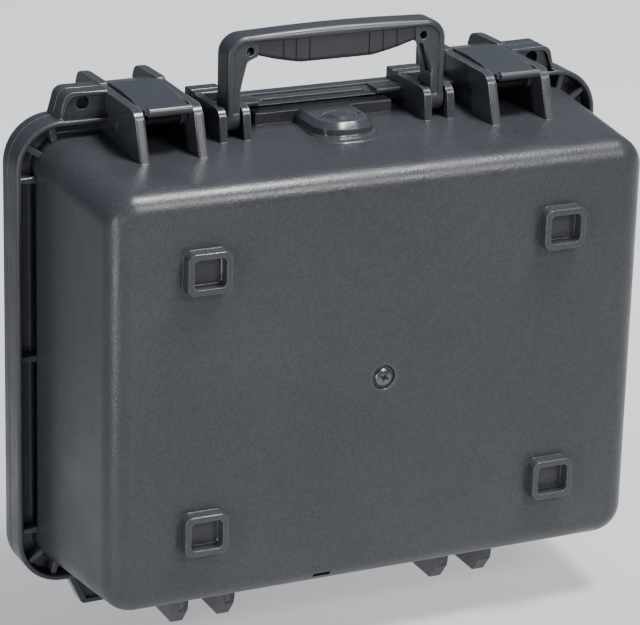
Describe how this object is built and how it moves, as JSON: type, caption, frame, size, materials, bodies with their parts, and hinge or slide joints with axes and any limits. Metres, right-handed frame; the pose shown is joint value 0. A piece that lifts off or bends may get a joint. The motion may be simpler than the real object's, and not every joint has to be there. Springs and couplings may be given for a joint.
{
  "type": "drone carrying case",
  "caption": "Hard moulded carrying case with ribbed rim, hinged lid, flip-up toggle latches, folding carry handle, padlock tabs, vent valve and cut foam for a folding drone.",
  "frame": {"origin": "centre of the bounding box's bottom face, on the plane the case stands on", "axes": "+X across the case, +Y from the base's bottom face towards the lid, +Z from the hinge side up to the carry handle"},
  "size_m": [0.406, 0.177, 0.3845],
  "materials": {
    "shell": "dark slate-grey moulded polypropylene with a fine leather grain",
    "latch_plastic": "dark slate-grey moulded nylon, slightly glossier than the shells",
    "grip_rubber": "dark grey over-moulded grip",
    "valve_plastic": "dark grey moulded plastic",
    "seal_rubber": "black solid rubber",
    "membrane": "white porous film",
    "steel": "bright steel",
    "foam": "charcoal open-cell foam"
  },
  "bodies": {
    "base": {"base_shell": "shell", "handle_pins": "steel", "latch_pins": "steel", "hinge_pins": "steel", "valve_body": "valve_plastic", "valve_nut": "valve_plastic", "valve_seal": "seal_rubber", "valve_membrane": "membrane", "centre_screw": "steel", "screw_washer": "steel", "foam_anchor": "valve_plastic", "foam_floor": "foam", "foam_pad": "foam", "foam_insert": "foam"},
    "handle": {"handle_frame": "latch_plastic", "handle_grip": "grip_rubber"},
    "valve_knob": {"valve_knob": "valve_plastic"},
    "link_left": {"latch_link_left": "latch_plastic", "lever_pin_left": "steel"},
    "link_right": {"latch_link_right": "latch_plastic", "lever_pin_right": "steel"},
    "lever_left": {"latch_lever_left": "latch_plastic"},
    "lever_right": {"latch_lever_right": "latch_plastic"},
    "lid": {"lid_shell": "shell", "lid_seal": "seal_rubber", "foam_lid": "foam"}
  },
  "joints": [
    {"name": "lid_hinge", "type": "hinge", "parent": "base", "child": "lid", "pos_m": [0, 0.04, 0.01], "axis": [-1, 0, 0], "range_deg": [0, 110]},
    {"name": "handle_fold", "type": "hinge", "parent": "base", "child": "handle", "pos_m": [0, 0.005, 0.33], "axis": [-1, 0, 0], "range_deg": [-80, 45]},
    {"name": "latch_link_turn_left", "type": "hinge", "parent": "base", "child": "link_left", "pos_m": [-0.12025, 0.009, 0.3295], "axis": [1, 0, 0], "range_deg": [-50, 0]},
    {"name": "latch_lever_flip_left", "type": "hinge", "parent": "link_left", "child": "lever_left", "pos_m": [-0.12025, -0.006, 0.337], "axis": [1, 0, 0], "range_deg": [0, 150]},
    {"name": "latch_link_turn_right", "type": "hinge", "parent": "base", "child": "link_right", "pos_m": [0.12025, 0.009, 0.3295], "axis": [1, 0, 0], "range_deg": [-50, 0]},
    {"name": "latch_lever_flip_right", "type": "hinge", "parent": "link_right", "child": "lever_right", "pos_m": [0.12025, -0.006, 0.337], "axis": [1, 0, 0], "range_deg": [0, 150]},
    {"name": "valve_turn", "type": "hinge", "parent": "base", "child": "valve_knob", "pos_m": [0, -0.007, 0.325], "axis": [0, 0, 1], "range_deg": [-90, 0]}
  ],
  "couplings": [
    {"joint": "latch_lever_flip_left", "follows": "latch_link_turn_left", "ratio": -3},
    {"joint": "latch_lever_flip_right", "follows": "latch_link_turn_right", "ratio": -3}
  ]
}
